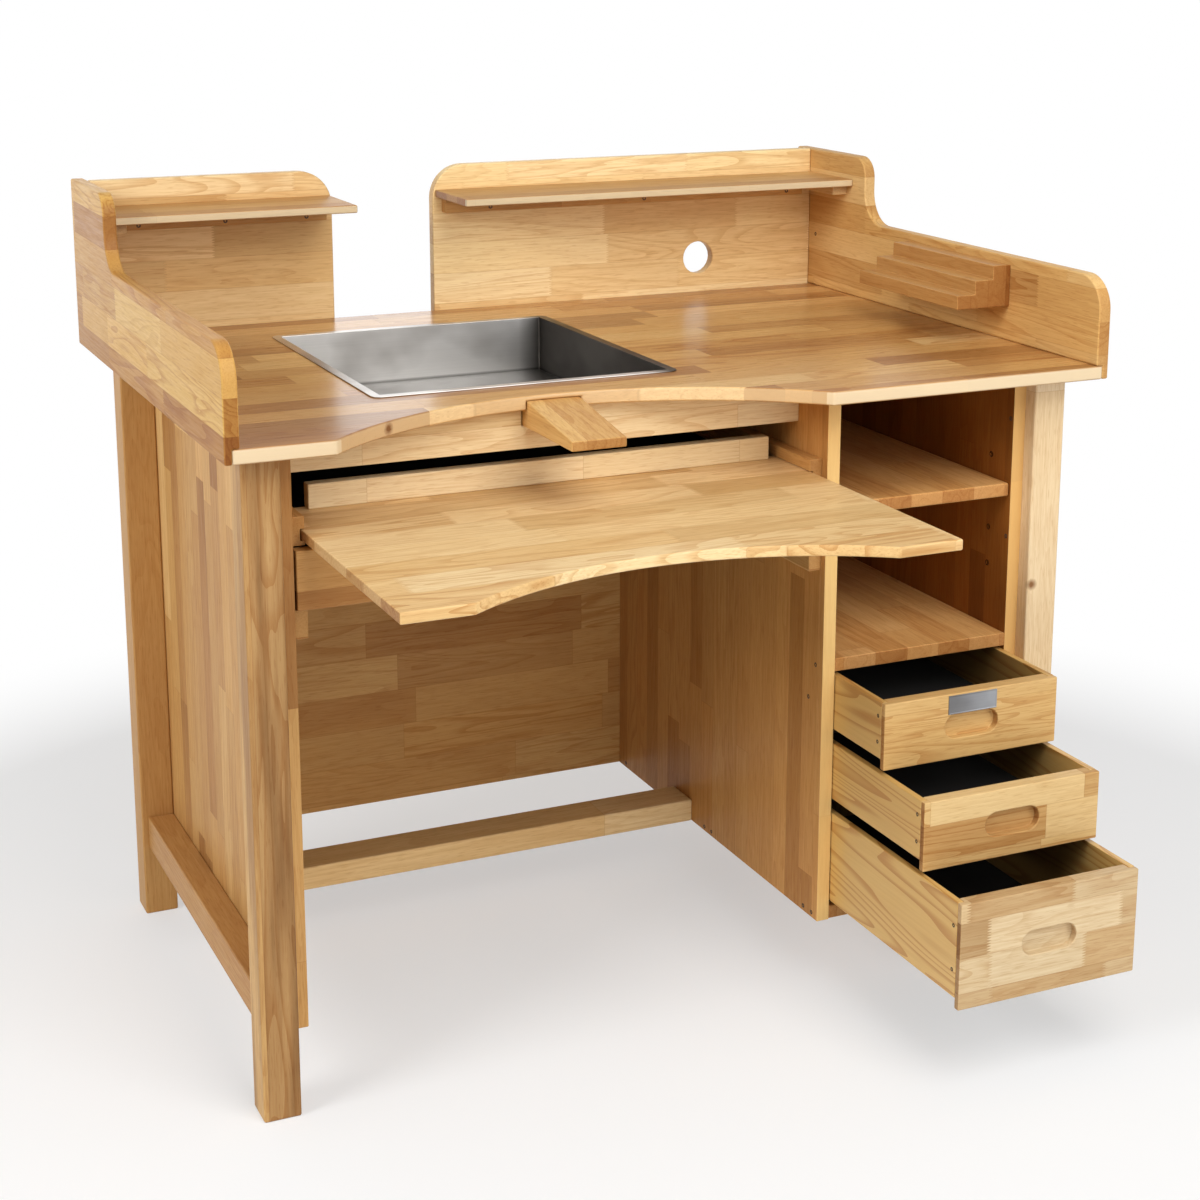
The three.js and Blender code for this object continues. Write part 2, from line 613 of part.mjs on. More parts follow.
// Loose shelf on four pegs, with rows of spare sockets above and below them
const looseShelfLow = fixedShelfLow + BOARD + SHELF_LIFT;
const looseShelfY = [PANEL_SETBACK + LOOSE_SHELF_SETBACK, backPanelFront - LOOSE_SHELF_REAR_GAP];
const pegHeight = looseShelfLow - RUN_GAP - PEG_DIAMETER / 2;
const pegFront = looseShelfY[0] + PEG_FRONT_INSET;
const pegRear = looseShelfY[1] - PEG_REAR_INSET;

function peg(x, y, z, radius) {
  const geometry = new THREE.CylinderGeometry(radius, radius, x[1] - x[0], 10);
  geometry.rotateZ(Math.PI / 2);
  geometry.translate((x[0] + x[1]) / 2, y, z);
  return geometry;
}

function pegSockets(x) {
  const sockets = [];
  for (let row = -PEG_ROWS_BELOW; row <= PEG_ROWS_ABOVE; row += 1) {
    for (const y of [pegFront, pegRear]) {
      sockets.push(peg(x, y, pegHeight + row * PEG_PITCH, PEG_DIAMETER / 2 + PEG_FIT));
    }
  }
  return sockets;
}

function addLooseShelf() {
  const x = inset([bayLeft, bayRight], LOOSE_SHELF_CLEARANCE);
  add('loose_shelf', block(x, looseShelfY, [looseShelfLow, looseShelfLow + BOARD]), FINISH.honeyWood);
  const depthIn = PEG_SOCKET - PEG_FIT;
  const sides = { left: [bayLeft - depthIn, bayLeft - depthIn + PEG_LENGTH] };
  sides.right = [bayRight + depthIn - PEG_LENGTH, bayRight + depthIn];
  for (const [side, pegX] of Object.entries(sides)) {
    add(`${side}_front_shelf_peg`, peg(pegX, pegFront, pegHeight, PEG_DIAMETER / 2), FINISH.brushedSteel);
    add(`${side}_rear_shelf_peg`, peg(pegX, pegRear, pegHeight, PEG_DIAMETER / 2), FINISH.brushedSteel);
  }
}

addLegs();
addSides();
addKneehole();
addBenchPin();
addWorktop();
addPan();
addWings();
addGallery();
addToolRack();
addTray();
addTrayRunners();
addSweepDrawer();
addCabinet();
addLooseShelf();

// The origin lies on the floor, in the middle of the bench with its tray and drawers pulled out
const drawerReach = drawerClosedFace - Math.max(...DRAWER_PULLS);
const frontReach = Math.min(topFront, trayFront, drawerReach);
parts.position.y = -(frontReach + wingRear) / 2;

const bench = new THREE.Group();
bench.add(parts);

export default bench;
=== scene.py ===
from math import radians

import bmesh
import bpy
from mathutils import Euler, Matrix, Vector


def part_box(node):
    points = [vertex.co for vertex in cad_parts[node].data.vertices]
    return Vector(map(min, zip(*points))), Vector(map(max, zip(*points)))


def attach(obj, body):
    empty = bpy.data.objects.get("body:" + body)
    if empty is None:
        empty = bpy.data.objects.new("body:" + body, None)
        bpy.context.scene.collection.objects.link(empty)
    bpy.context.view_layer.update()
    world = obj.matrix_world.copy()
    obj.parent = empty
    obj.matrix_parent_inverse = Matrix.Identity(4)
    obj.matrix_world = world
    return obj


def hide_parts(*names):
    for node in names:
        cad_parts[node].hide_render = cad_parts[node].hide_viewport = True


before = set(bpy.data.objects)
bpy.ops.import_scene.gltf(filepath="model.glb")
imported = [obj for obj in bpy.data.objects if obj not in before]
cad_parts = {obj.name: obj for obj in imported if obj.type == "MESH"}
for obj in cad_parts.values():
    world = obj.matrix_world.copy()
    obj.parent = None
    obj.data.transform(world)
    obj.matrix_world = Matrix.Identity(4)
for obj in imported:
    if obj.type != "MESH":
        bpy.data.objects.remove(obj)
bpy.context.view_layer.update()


# Legs: four square posts of golden hardwood, each glued up from long staves and lacquered satin.
# They stand on the floor with their edges eased, and the panels and rails are fixed between them.
HONEY = [
    (0.0, (0.38, 0.185, 0.058)),
    (0.15, (0.48, 0.25, 0.084)),
    (0.5, (0.57, 0.325, 0.115)),
    (0.85, (0.65, 0.395, 0.15)),
    (1.0, (0.73, 0.48, 0.205)),
]
LEG_EASE = 0.003


def add_node(tree, kind, inputs, **settings):
    node = tree.nodes.new(kind)
    for name, value in settings.items():
        setattr(node, name, value)
    for socket, value in inputs.items():
        if isinstance(value, bpy.types.NodeSocket):
            tree.links.new(value, node.inputs[socket])
        else:
            node.inputs[socket].default_value = value
    return node


def calculate(tree, operation, first, second=0.0, third=0.0):
    values = {0: first, 1: second, 2: third}
    return add_node(tree, "ShaderNodeMath", values, operation=operation).outputs[0]


def fade(tree, value, low, high, at_low=0.0, at_high=1.0, blend="LINEAR"):
    """Goes from one level to another between two limits of a value, and stays level outside them."""
    limits = {0: value, 1: low, 2: high, 3: at_low, 4: at_high}
    return add_node(tree, "ShaderNodeMapRange", limits, interpolation_type=blend).outputs[0]


def split(tree, vector):
    return add_node(tree, "ShaderNodeSeparateXYZ", {0: vector}).outputs


def tone_ramp(tree, factor, tones):
    ramp = add_node(tree, "ShaderNodeValToRGB", {0: factor})
    stops = ramp.color_ramp.elements
    while len(stops) < len(tones):
        stops.new(0.5)
    for stop, (position, colour) in zip(stops, tones):
        stop.position = position
        stop.color = (*colour, 1)
    return ramp.outputs[0]


def tint(tree, colour, factor, shade, blend="MULTIPLY"):
    values = {0: factor, 6: colour, 7: (*shade, 1)}
    return add_node(tree, "ShaderNodeMix", values, data_type="RGBA", blend_type=blend).outputs[2]


def stretched_noise(tree, place, stretch, detail, distortion=0.0):
    scaled = add_node(tree, "ShaderNodeVectorMath", {0: place, 1: stretch}, operation="MULTIPLY")
    values = {"Vector": scaled.outputs[0], "Scale": 1.0, "Detail": detail, "Distortion": distortion}
    return add_node(tree, "ShaderNodeTexNoise", values).outputs[0]


def add_relief(tree, shader, height, strength, depth):
    bump = add_node(tree, "ShaderNodeBump", {"Strength": strength, "Distance": depth, "Height": height})
    tree.links.new(bump.outputs[0], shader.inputs["Normal"])


def new_finish(name):
    """A blank finish, with its shader and the places and directions that a pattern is laid out by."""
    material = bpy.data.materials.new(name)
    material.use_nodes = True
    tree = material.node_tree
    place = add_node(tree, "ShaderNodeTexCoord", {}).outputs
    return material, tree, tree.nodes["Principled BSDF"], place


def stave_wood(name, grain, across, width, length, tones, figure=0.5, spread=0.8, cloud=(0.5, 9.0),
               seed=0.0, zigzag=0.0, gloss=0.42, coat=0.03, knot=None,
               edge_front=0.0, edge_pale_and_highlight=None, edge_rest=0.0, edge_highlight_lift=None):
    """Glued-up boards: rows of staves side by side, cut to chance lengths, each with its own tone.

    figure is the strength of the growth rings, spread how far the staves' tones differ, cloud the
    strength and fineness of the drift within a stave, and zigzag the depth of the finger joints. The
    upright edges in front of edge_front are screened pale, part paler sanded wood and part painted
    highlight; the others take edge_rest of it, and dark staves there are lifted paler as painted highlight.
    """
    material, tree, shader, place = new_finish(name)
    axes = split(tree, place["Object"])
    along = axes[grain]
    side = axes[across]
    through = axes[({"X", "Y", "Z"} - {grain, across}).pop()]

    # Each row of staves starts at a place of its own, and the cuts between staves may zigzag.
    finger_width = 0.002
    row_shift = 61.0
    rows = calculate(tree, "DIVIDE", side, width)
    row = calculate(tree, "FLOOR", rows)
    row_luck = add_node(tree, "ShaderNodeTexWhiteNoise", {"W": row}, noise_dimensions="1D").outputs["Value"]
    fingers = calculate(tree, "PINGPONG", side, finger_width)
    joint_place = calculate(tree, "MULTIPLY_ADD", fingers, zigzag, along)
    lengths = calculate(tree, "ADD", calculate(tree, "DIVIDE", joint_place, length), seed)
    run = {"W": calculate(tree, "MULTIPLY_ADD", row_luck, row_shift, lengths), "Scale": 1.0}
    stave = add_node(tree, "ShaderNodeTexVoronoi", run, voronoi_dimensions="1D").outputs["Color"]
    ends = add_node(tree, "ShaderNodeTexVoronoi", run, voronoi_dimensions="1D", feature="DISTANCE_TO_EDGE")
    luck = add_node(tree, "ShaderNodeSeparateColor", {0: stave}).outputs

    # Every stave is cut from another place in the log, so its rings, fibres and pores are its own.
    log_reach = (5.0, 5.0, 5.0)
    board = add_node(tree, "ShaderNodeCombineXYZ", {0: along, 1: side, 2: through}).outputs[0]
    cut = {0: stave, 1: log_reach, 2: board}
    own = add_node(tree, "ShaderNodeVectorMath", cut, operation="MULTIPLY_ADD").outputs[0]
    flame = stretched_noise(tree, own, stretch=(1.6, 15.0, 15.0), detail=2.0, distortion=0.5)
    fibre = stretched_noise(tree, own, stretch=(14.0, 360.0, 360.0), detail=3.0)
    pores = stretched_noise(tree, own, stretch=(42.0, 640.0, 640.0), detail=1.0)
    drift_depth, drift_fineness = cloud
    drift = stretched_noise(tree, own, stretch=(2.5, drift_fineness, drift_fineness), detail=2.0)

    # The stave's tone comes first, then its warmth, late wood, fibres and open pores.
    warm_shade = (1.0, 0.92, 0.8)
    warm_share = 0.7
    ring_count = 13.0
    late_shade = (0.74, 0.57, 0.41)
    fibre_shade = (0.74, 0.6, 0.45)
    pore_shade = (0.66, 0.48, 0.33)
    tone = calculate(tree, "MULTIPLY_ADD", drift, drift_depth, 0.5 - spread / 2 - drift_depth / 2)
    tone = calculate(tree, "MULTIPLY_ADD", luck[0], spread, tone)
    colour = tone_ramp(tree, tone, tones)
    colour = tint(tree, colour, calculate(tree, "MULTIPLY", luck[2], warm_share), warm_shade)
    rings = calculate(tree, "FRACT", calculate(tree, "MULTIPLY", flame, ring_count))
    late = fade(tree, rings, 0.45, 0.98, at_high=figure, blend="SMOOTHSTEP")
    colour = tint(tree, colour, calculate(tree, "MULTIPLY", late, luck[1]), late_shade)
    streak = fade(tree, fibre, 0.35, 0.7, at_high=0.36)
    colour = tint(tree, colour, streak, fibre_shade)
    specks = fade(tree, pores, 0.58, 0.68, at_high=0.34)
    colour = tint(tree, colour, specks, pore_shade)

    # Thin dark glue lines follow the rows and the cuts.
    glue_shade = (0.6, 0.42, 0.28)
    row_edge = calculate(tree, "MULTIPLY", calculate(tree, "PINGPONG", rows, 0.5), width)
    end_edge = calculate(tree, "MULTIPLY", ends.outputs["Distance"], length)
    nearest = calculate(tree, "MINIMUM", row_edge, end_edge)
    glue = fade(tree, nearest, 0.0002, 0.0008, at_low=0.35, at_high=0.0)
    colour = tint(tree, colour, glue, glue_shade)

    # End grain drinks more lacquer and goes darker, some staves more than others.
    end_shade = (0.52, 0.38, 0.27)
    turned = split(tree, place["Normal"])
    cut_end = fade(tree, calculate(tree, "ABSOLUTE", turned[grain]), 0.6, 0.95)
    thirst = calculate(tree, "MULTIPLY_ADD", luck[1], 0.75, 0.25)
    colour = tint(tree, colour, calculate(tree, "MULTIPLY", cut_end, thirst), end_shade)

    # Painted highlight, with paler sanded wood, on the upright edges near the front.
    if edge_pale_and_highlight:
        edge = fade(tree, calculate(tree, "ABSOLUTE", turned["Z"]), 0.2, 0.9, at_low=1.0, at_high=0.0)
        if edge_highlight_lift:
            lift_share = 0.7
            lifted = calculate(tree, "MULTIPLY", edge, lift_share)
            colour = tint(tree, colour, lifted, edge_highlight_lift, "LIGHTEN")
        ahead = calculate(tree, "LESS_THAN", side, edge_front)
        ahead = calculate(tree, "MULTIPLY_ADD", ahead, 1.0 - edge_rest, edge_rest)
        colour = tint(tree, colour, calculate(tree, "MULTIPLY", edge, ahead), edge_pale_and_highlight, "SCREEN")
    if knot:
        knot_shade = (0.3, 0.16, 0.08)
        swirl_depth = 0.004
        reach = add_node(tree, "ShaderNodeVectorMath", {0: place["Object"], 1: knot}, operation="DISTANCE")
        swirl = calculate(tree, "MULTIPLY_ADD", fibre, swirl_depth, reach.outputs["Value"])
        heart = fade(tree, swirl, 0.005, 0.012, at_low=0.95, at_high=0.0)
        colour = tint(tree, colour, heart, knot_shade)
    tree.links.new(colour, shader.inputs["Base Color"])

    # The lacquer is a little duller along the fibres and sinks into the pores and glue lines.
    glue_depth = -1.2
    sheen = fade(tree, fibre, 0.3, 0.7, at_low=gloss - 0.05, at_high=gloss + 0.09)
    tree.links.new(sheen, shader.inputs["Roughness"])
    relief = calculate(tree, "MULTIPLY_ADD", glue, glue_depth, fibre)
    relief = calculate(tree, "SUBTRACT", relief, specks)
    add_relief(tree, shader, relief, strength=0.12, depth=0.0004)
    shader.inputs["Specular IOR Level"].default_value = 0.13
    shader.inputs["Coat Weight"].default_value = coat
    shader.inputs["Coat Roughness"].default_value = 0.2
    return material


def add_piece(name, mesh, material, body):
    data = bpy.data.meshes.new(name)
    mesh.to_mesh(data)
    mesh.free()
    for face in data.polygons:
        face.use_smooth = True
    data.materials.append(material)
    piece = bpy.data.objects.new(name, data)
    bpy.context.scene.collection.objects.link(piece)
    weighted = piece.modifiers.new("even_faces", "WEIGHTED_NORMAL")
    weighted.keep_sharp = True
    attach(piece, body)
    return piece


def ease_edges(mesh, radius, segments=3):
    sharp_angle = radians(35)
    sharp = [edge for edge in mesh.edges if edge.is_manifold and edge.calc_face_angle() > sharp_angle]
    bmesh.ops.bevel(
        mesh, geom=sharp, offset=radius, offset_type="OFFSET", affect="EDGES", segments=segments,
        profile=0.5, material=-1, clamp_overlap=True,
    )


def ease_node(node, radius, material, body="bench"):
    """A board as the saw left it gets its edges rounded over with a small cutter."""
    same_place = 1e-5
    flat_angle = radians(1)
    mesh = bmesh.new()
    mesh.from_mesh(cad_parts[node].data)
    bmesh.ops.remove_doubles(mesh, verts=mesh.verts, dist=same_place)
    bmesh.ops.dissolve_limit(mesh, angle_limit=flat_angle, verts=mesh.verts, edges=mesh.edges)
    ease_edges(mesh, radius)
    piece = add_piece(f"{node}_eased", mesh, material, body)
    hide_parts(node)


leg_wood = stave_wood("leg_wood", "Z", "X", width=0.09, length=2.0, tones=HONEY, spread=0.3)
for leg in ("left_back_leg", "right_back_leg"):
    ease_node(leg, LEG_EASE, leg_wood)

# The left front leg is a browner, streakier length than the others.
BROWN = [
    (0.2, (0.25, 0.13, 0.048)),
    (0.5, (0.39, 0.22, 0.086)),
    (0.8, (0.5, 0.31, 0.13)),
    (1.0, (0.64, 0.42, 0.18)),
]
brown_leg_wood = stave_wood(
    "brown_leg_wood", "Z", "X", width=0.0614, length=2.0, tones=BROWN, figure=0.7, spread=0.7,
    cloud=(1.7, 40.0), seed=959.0,
)
ease_node("left_front_leg", LEG_EASE, brown_leg_wood)

# The right front leg is one pale stave with a single knot below the loose shelf.
CREAM = [
    (0.0, (0.66, 0.49, 0.28)),
    (0.5, (0.77, 0.62, 0.41)),
    (1.0, (0.82, 0.68, 0.465)),
]
LEG_KNOT = (0.576, -0.2465, 0.603)
knotted_leg_wood = stave_wood(
    "knotted_leg_wood", "Z", "X", width=0.09, length=2.0, tones=CREAM, figure=0.25, spread=0.3, knot=LEG_KNOT
)
ease_node("right_front_leg", LEG_EASE, knotted_leg_wood)


# Side rails: low square rails between the front and back legs, set in a little from the leg faces.
# They are single lengths of the same hardwood, tenoned into the legs.
RAIL_EASE = 0.0025
rail_wood = stave_wood("rail_wood", "Y", "Z", width=0.06, length=0.9, tones=HONEY, figure=0.35, seed=116.0)
for rail in ("left_side_rail", "right_side_rail"):
    ease_node(rail, RAIL_EASE, rail_wood)


# Side panel, partition and cabinet side: upright boards glued up from narrow staves of chance
# lengths, screwed to the legs. The cabinet pair is bored with two columns of peg sockets inside.
PANEL_EASE = 0.0012
PANEL_STAVE = 0.041
panel_wood = stave_wood("panel_wood", "Z", "Y", width=PANEL_STAVE, length=0.45, tones=HONEY, spread=1.2)
ease_node("left_side_panel", PANEL_EASE, panel_wood)
AMBER = [
    (0.0, (0.4, 0.185, 0.05)),
    (0.5, (0.57, 0.3, 0.096)),
    (1.0, (0.65, 0.37, 0.13)),
]
# The cabinet side's tones are a darkened copy of the wood: painted shade for the dim inside of the cabinet.
RUSSET_PAINTED_SHADE = [
    (0.0, (0.2, 0.066, 0.012)),
    (0.5, (0.28, 0.1, 0.018)),
    (1.0, (0.34, 0.13, 0.026)),
]
# Pale front edges of the cabinet walls: part paler sanded wood, part painted highlight.
FRONT_EDGE_PALE_AND_HIGHLIGHT = (0.55, 0.33, 0.12)
SOCKET_PITCH = 0.0564
SOCKET_RADIUS = 0.0046
# Painted shade round the mouths of the peg sockets.
SOCKET_PAINTED_SHADE = (0.1, 0.07, 0.045)


def paint_socket_shade(material, facing):
    """Painted shade round the mouth of each bored socket in the two columns, a little wider than its bore."""
    tree = material.node_tree
    base = tree.nodes["Principled BSDF"].inputs["Base Color"]
    front, rear = (sum(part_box(f"right_{end}_shelf_peg"), Vector()) / 2 for end in ("front", "rear"))
    place = add_node(tree, "ShaderNodeTexCoord", {}).outputs
    axes = split(tree, place["Object"])
    from_front = calculate(tree, "ABSOLUTE", calculate(tree, "SUBTRACT", axes["Y"], front.y))
    from_rear = calculate(tree, "ABSOLUTE", calculate(tree, "SUBTRACT", axes["Y"], rear.y))
    apart = calculate(tree, "MINIMUM", from_front, from_rear)
    height = calculate(tree, "SUBTRACT", axes["Z"], front.z)
    rise = calculate(tree, "PINGPONG", height, SOCKET_PITCH / 2)
    centre = add_node(tree, "ShaderNodeCombineXYZ", {0: apart, 1: rise}).outputs[0]
    reach = add_node(tree, "ShaderNodeVectorMath", {0: centre}, operation="LENGTH").outputs["Value"]
    shaded_mouth = calculate(tree, "LESS_THAN", reach, SOCKET_RADIUS)
    bored = calculate(tree, "COMPARE", axes["Z"], front.z - SOCKET_PITCH / 2, SOCKET_PITCH * 2)
    turned = split(tree, place["Normal"])
    inside = calculate(tree, "GREATER_THAN", calculate(tree, "MULTIPLY", turned["X"], facing), 0.5)
    shaded_mouth = calculate(tree, "MULTIPLY", calculate(tree, "MULTIPLY", shaded_mouth, bored), inside)
    tree.links.new(tint(tree, base.links[0].from_socket, shaded_mouth, SOCKET_PAINTED_SHADE), base)


cabinet_walls = (
    ("cabinet_partition", "partition_wood", AMBER, 1.0),
    ("cabinet_right_side", "cabinet_side_shaded_wood", RUSSET_PAINTED_SHADE, -1.0),
)
for wall, wood_name, tones, facing in cabinet_walls:
    wall_wood = stave_wood(
        wood_name, "Z", "Y", width=PANEL_STAVE, length=0.6, tones=tones,
        edge_front=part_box(wall)[0].y + PANEL_EASE, edge_pale_and_highlight=FRONT_EDGE_PALE_AND_HIGHLIGHT,
    )
    # Painted shade round the peg sockets on the cabinet's inside face of the wall.
    paint_socket_shade(wall_wood, facing)
    ease_node(wall, PANEL_EASE, wall_wood)


# Back panel: one wide board that closes the kneehole and the cabinet, with its staves lying flat.
# It stiffens the frame and is screwed between the two end panels.
BACK_PANEL_EASE = 0.0015
back_panel_wood = stave_wood("back_panel_wood", "X", "Z", width=0.062, length=0.36, tones=HONEY, figure=0.8)
ease_node("back_panel", BACK_PANEL_EASE, back_panel_wood)


# Foot stretcher and apron: a rest for the feet across the kneehole, and the board under the
# worktop's front that is notched for the bench pin. Both are butted to the panels at their ends.
STRETCHER_EASE = 0.003
APRON_EASE = 0.0012
PALE = [
    (0.0, (0.62, 0.4, 0.17)),
    (0.15, (0.71, 0.49, 0.23)),
    (0.5, (0.79, 0.575, 0.295)),
    (0.85, (0.83, 0.625, 0.34)),
    (1.0, (0.86, 0.665, 0.38)),
]
stretcher_wood = stave_wood("stretcher_wood", "X", "Y", width=0.09, length=0.75, tones=PALE, figure=0.4)
ease_node("foot_stretcher", STRETCHER_EASE, stretcher_wood)
BUTTER = [
    (0.0, (0.72, 0.54, 0.28)),
    (0.5, (0.84, 0.695, 0.445)),
    (1.0, (0.88, 0.755, 0.52)),
]
apron_wood = stave_wood("apron_wood", "X", "Z", width=0.064, length=0.55, tones=BUTTER, figure=0.6)
ease_node("apron", APRON_EASE, apron_wood)


# Worktop: a thick board of long staves with a round recess for the worker, its edges eased and
# its face lacquered smooth enough to mirror what stands on it. A small knot shows in the recess edge.
WORKTOP_EASE = 0.003
WORKTOP_KNOT = (-0.4195, -0.2282, 0.9305)
# Its upright edges are screened pale, part paler sanded wood and part painted highlight.
worktop_wood = stave_wood(
    "worktop_wood", "X", "Y", width=0.056, length=0.4, tones=HONEY, figure=1.0, spread=1.25, seed=2790.0,
    gloss=0.3, coat=0.3, knot=WORKTOP_KNOT,
    edge_front=-0.294, edge_pale_and_highlight=(0.37, 0.36, 0.27), edge_rest=0.45, edge_highlight_lift=(0.54, 0.3, 0.1),
)
ease_node("worktop", WORKTOP_EASE, worktop_wood)


# Steel pan: stainless sheet folded into a shallow box, welded and brushed, with a narrow flange
# that lies on the worktop. It lifts straight out, and its floor and right-hand wall carry painted shade.
PAN_EASE = 0.0006
STEEL = (0.73, 0.71, 0.685)
# Painted shade, standing in for darker reflections, on the pan's floor and towards its right-hand wall.
FLOOR_PAINTED_SHADE = (0.28, 0.275, 0.265)
FLOOR_SHADE_REACH = (0.006, 0.002)
WALL_PAINTED_SHADE = (0.12, 0.11, 0.1)
WALL_SHADE_REACH = (0.05, 0.012)


def brushed_metal(name, colour, stretch, roughness, painted_shade=()):
    """Sheet metal with fine lines from the brush and cloudy smears, and painted shade beyond given places."""
    material, tree, shader, place = new_finish(name)
    line_contrast = (0.86, 1.06)
    smear_shade = (0.46, 0.44, 0.42)
    line_roughness = 0.12
    smear_roughness = 0.14
    lines = stretched_noise(tree, place["Object"], stretch, detail=2.0)
    smear = stretched_noise(tree, place["Object"], stretch=(6.0, 6.0, 9.0), detail=3.0)
    tints = [(stop, tuple(share * c for c in colour)) for stop, share in zip((0.0, 1.0), line_contrast)]
    clouded = fade(tree, smear, 0.42, 0.66, at_high=0.8)
    sheet = tint(tree, tone_ramp(tree, lines, tints), clouded, smear_shade)
    axes = split(tree, place["Object"])
    # Painted shade fades in between the two limits along each given axis.
    for axis, shade_start, shade_full, shade in painted_shade:
        sheet = tint(tree, sheet, fade(tree, axes[axis], shade_start, shade_full), shade)
    tree.links.new(sheet, shader.inputs["Base Color"])
    rough = calculate(tree, "MULTIPLY_ADD", lines, line_roughness, roughness - line_roughness)
    rough = calculate(tree, "MULTIPLY_ADD", smear, smear_roughness, rough)
    tree.links.new(rough, shader.inputs["Roughness"])
    add_relief(tree, shader, lines, strength=0.012, depth=0.0002)
    shader.inputs["Metallic"].default_value = 1.0
    return material


pan_low, pan_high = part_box("steel_pan")
floor_shade_reach = [pan_low.z + above for above in FLOOR_SHADE_REACH]
wall_shade_reach = [pan_high.x - inside for inside in WALL_SHADE_REACH]
pan_steel = brushed_metal(
    "pan_steel", STEEL, stretch=(2.0, 2.0, 1400.0), roughness=0.36,
    painted_shade=(("Z", *floor_shade_reach, FLOOR_PAINTED_SHADE), ("X", *wall_shade_reach, WALL_PAINTED_SHADE)),
)
ease_node("steel_pan", PAN_EASE, pan_steel, body="pan")


# Bench pin: a wedge of two pale strips glued side by side, flat below and sloping to its tip.
# Its tang is pushed into the pocket under the worktop and the notch in the apron.
PIN_EASE = 0.002
GOLD = [
    (0.0, (0.5, 0.265, 0.088)),
    (0.15, (0.6, 0.345, 0.12)),
    (0.5, (0.68, 0.425, 0.16)),
    (0.85, (0.73, 0.48, 0.195)),
    (1.0, (0.78, 0.545, 0.25)),
]
pin_wood = stave_wood("pin_wood", "Y", "X", width=0.058, length=0.9, tones=GOLD, figure=0.7)
ease_node("bench_pin", PIN_EASE, pin_wood, body="pin")


# Wings: low side boards swept up to the back in one curve, rebated over the worktop's ends and
# screwed to them. Their staves lie front to back, and their top edges are rounded over.
WING_EASE = 0.003
STRAW = [
    (0.0, (0.44, 0.216, 0.058)),
    (0.5, (0.61, 0.355, 0.1)),
    (1.0, (0.69, 0.44, 0.14)),
]
for wing, tones, seed in (("left_wing", STRAW, 895.0), ("right_wing", GOLD, 344.0)):
    wing_wood = stave_wood(
        f"{wing}_wood", "Y", "Z", width=0.0478, length=0.33, tones=tones, figure=0.75, spread=1.3, seed=seed,
        zigzag=3.0,
    )
    ease_node(wing, WING_EASE, wing_wood)


# Back boards: two boards on the worktop's rear edge with an open gap between them, each with one
# round corner. The right one has a hole for cables. They are glued up from flat staves.
BOARD_EASE = 0.003
BRIGHT = [
    (0.0, (0.79, 0.55, 0.265)),
    (0.5, (0.91, 0.72, 0.39)),
    (1.0, (0.94, 0.77, 0.465)),
]
for side, tones, figure in (("left", PALE, 1.0), ("right", BRIGHT, 0.6)):
    board_wood = stave_wood(
        f"{side}_board_wood", "X", "Z", width=0.05, length=0.34, tones=tones, figure=figure, spread=0.9,
        zigzag=3.0,
    )
    ease_node(f"{side}_back_board", BOARD_EASE, board_wood)


# Gallery shelves: thin shelves along the back boards, each carried by a cleat on the board and a
# short cleat on the wing. The long cleats and the right wing are fixed with dark countersunk screws.
SHELF_EASE = 0.002
CLEAT_EASE = 0.0015
END_CLEAT = Vector((0.027, 0.107, 0.016))
END_CLEAT_FRONT = 0.4185
# The shelves' front edges are screened pale: part paler sanded wood, part painted highlight.
SHELF_EDGE_PALE_AND_HIGHLIGHT = (0.31, 0.33, 0.24)
shelf_wood = stave_wood(
    "shelf_wood", "X", "Y", width=0.049, length=0.5, tones=HONEY, figure=0.4,
    edge_front=0.405, edge_pale_and_highlight=SHELF_EDGE_PALE_AND_HIGHLIGHT,
)
cleat_wood = stave_wood("cleat_wood", "X", "Z", width=0.04, length=0.8, tones=HONEY, figure=0.3)
for side in ("left", "right"):
    ease_node(f"{side}_gallery_shelf", SHELF_EASE, shelf_wood)
    ease_node(f"{side}_shelf_cleat", CLEAT_EASE, cleat_wood)


def block_mesh(low, size):
    mesh = bmesh.new()
    bmesh.ops.create_cube(mesh, size=1.0)
    bmesh.ops.scale(mesh, vec=size, verts=mesh.verts)
    bmesh.ops.translate(mesh, vec=low + size / 2, verts=mesh.verts)
    return mesh


end_cleat_wood = stave_wood("end_cleat_wood", "Y", "X", width=0.05, length=0.8, tones=PALE, figure=0.3)
shelf_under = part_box("left_gallery_shelf")[0].z
left_cleat_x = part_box("left_wing")[1].x
right_cleat_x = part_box("right_wing")[0].x - END_CLEAT.x
for side, cleat_x in (("left", left_cleat_x), ("right", right_cleat_x)):
    cleat_mesh = block_mesh(Vector((cleat_x, END_CLEAT_FRONT, shelf_under - END_CLEAT.z)), END_CLEAT)
    ease_edges(cleat_mesh, CLEAT_EASE)
    add_piece(f"{side}_end_cleat", cleat_mesh, end_cleat_wood, "bench")

# The screw heads are browned steel, worn lighter in spots.
SCREW_TONES = [(0.35, (0.05, 0.036, 0.026)), (0.7, (0.14, 0.1, 0.07))]
SCREW_HEAD = 0.0035
SCREW_DEPTH = 0.003
SCREW_PROUD = 0.0001
DRIVER_RECESS = ((0.2, 0.0004), (0.3, 0.0), (0.15, -0.0012))
dark_screw, tree, shader, place = new_finish("dark_screw")
wear = stretched_noise(tree, place["Object"], stretch=(900.0, 900.0, 900.0), detail=2.0)
tree.links.new(tone_ramp(tree, wear, SCREW_TONES), shader.inputs["Base Color"])
shader.inputs["Metallic"].default_value = 0.7
shader.inputs["Roughness"].default_value = 0.5


